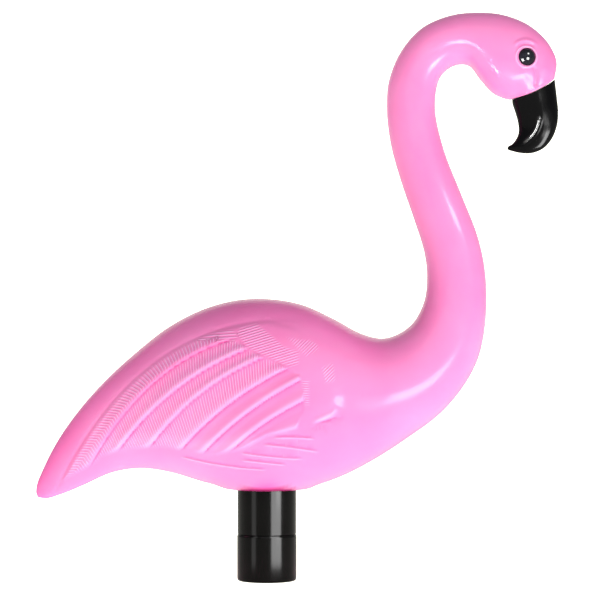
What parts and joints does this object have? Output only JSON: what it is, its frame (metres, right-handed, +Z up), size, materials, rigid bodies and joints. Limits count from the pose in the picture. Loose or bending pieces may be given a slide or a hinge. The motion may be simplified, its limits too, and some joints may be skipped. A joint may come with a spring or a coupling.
{
  "type": "flamingo garden light",
  "caption": "Pink flamingo garden light figure with a carved wing, hooked black bill and black bead eyes, on a round black socket that takes a ground stake.",
  "frame": {"origin": "centre of the stake socket's lower end, on the socket's axis", "axes": "+X from the tail towards the bill, +Y to the bird's left, +Z up along the socket's axis; the XZ plane is the figure's mirror plane"},
  "size_m": [0.2741, 0.0876, 0.2981],
  "materials": {
    "pink_plastic": "glossy, slightly translucent pink",
    "bill_black": "glossy black",
    "eye_black": "high gloss black bead",
    "socket_black": "satin black"
  },
  "bodies": {
    "root": {"flamingo_body": "pink_plastic", "bill": "bill_black", "eye_left": "eye_black", "eye_right": "eye_black", "socket_collar": "socket_black", "stake_sleeve": "socket_black"}
  },
  "joints": []
}
